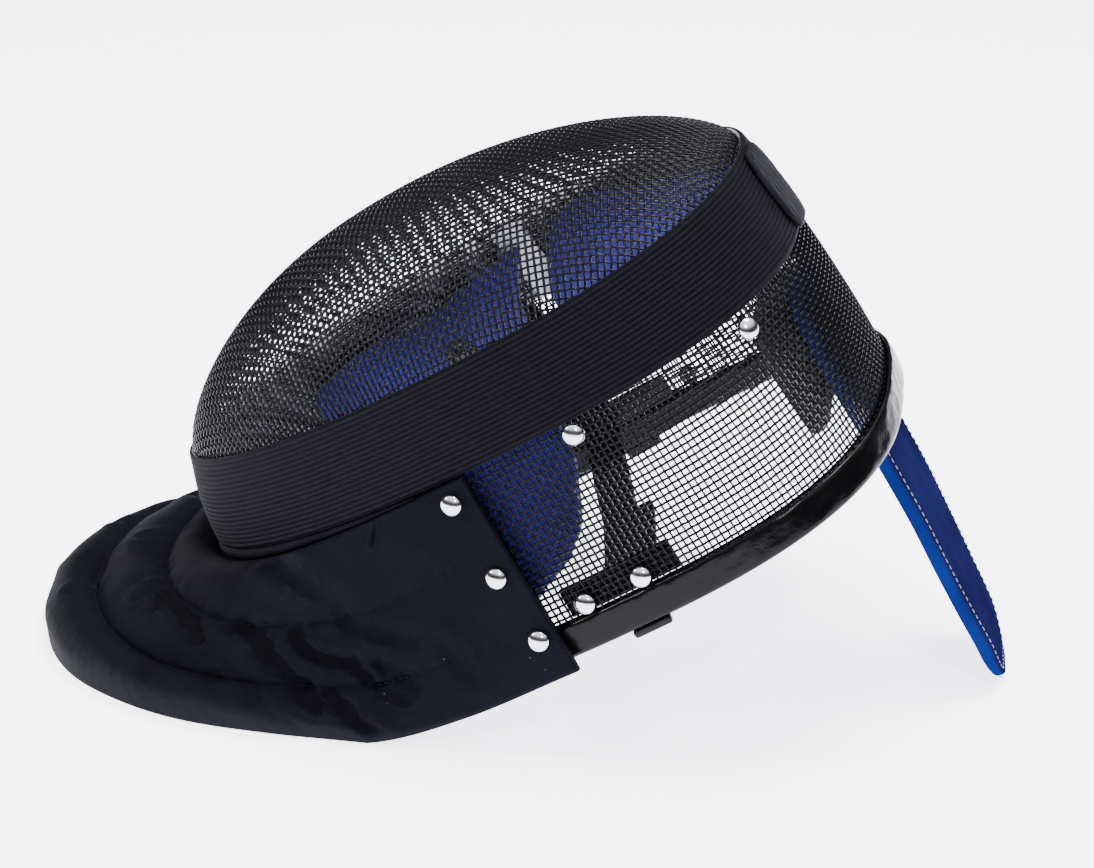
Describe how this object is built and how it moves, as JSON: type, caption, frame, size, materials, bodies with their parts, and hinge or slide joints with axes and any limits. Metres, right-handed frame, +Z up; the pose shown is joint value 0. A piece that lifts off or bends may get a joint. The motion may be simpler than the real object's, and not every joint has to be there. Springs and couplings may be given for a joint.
{
  "type": "fencing mask",
  "caption": "Fencing mask with a domed wire-mesh face, mesh sides, elastic band, quilted bib, inner pads, rear strap and a sprung leather tongue, lying face up.",
  "frame": {"origin": "middle of the outline seen from above, at the floor the mask rests on", "axes": "+Z up from the floor, +X towards the crown and its tongue, -X towards the bib's chin end, -Y towards the wearer's left"},
  "size_m": [0.4514, 0.2396, 0.248],
  "materials": {
    "wire_mesh": "satin black wire",
    "band_elastic": "ribbed elastic webbing",
    "bib_fabric": "close-woven, matte",
    "lining_fabric": "matte",
    "pad_fabric": "matte",
    "black_fabric": "matte",
    "patch_rubber": "satin",
    "trim_vinyl": "glossy",
    "strap_webbing": "flat elastic webbing",
    "tongue_leather": "satin",
    "rivet_steel": "polished"
  },
  "bodies": {
    "root": {"face_mesh": "wire_mesh", "side_mesh": "wire_mesh", "seam_band": "band_elastic", "hem_piping": "bib_fabric", "edge_trim": "trim_vinyl", "cheek_pad_left": "pad_fabric", "cheek_pad_right": "pad_fabric", "forehead_pad": "pad_fabric", "crown_pad": "black_fabric", "tongue_pocket": "black_fabric", "crown_patch": "patch_rubber", "rear_strap": "strap_webbing", "strap_tab_left": "strap_webbing", "strap_tab_right": "strap_webbing", "strap_keeper_left": "strap_webbing", "strap_keeper_right": "strap_webbing", "rivet_temple_left": "rivet_steel", "rivet_temple_right": "rivet_steel", "rivet_forehead_left": "rivet_steel", "rivet_forehead_right": "rivet_steel", "rivet_strap_front_left": "rivet_steel", "rivet_strap_front_right": "rivet_steel", "rivet_strap_rear_left": "rivet_steel", "rivet_strap_rear_right": "rivet_steel", "bib": "bib_fabric", "bib_lining": "lining_fabric", "tongue": "tongue_leather", "rivet_bib_top_left": "rivet_steel", "rivet_bib_top_right": "rivet_steel", "rivet_bib_middle_left": "rivet_steel", "rivet_bib_middle_right": "rivet_steel", "rivet_bib_bottom_left": "rivet_steel", "rivet_bib_bottom_right": "rivet_steel"}
  },
  "joints": []
}
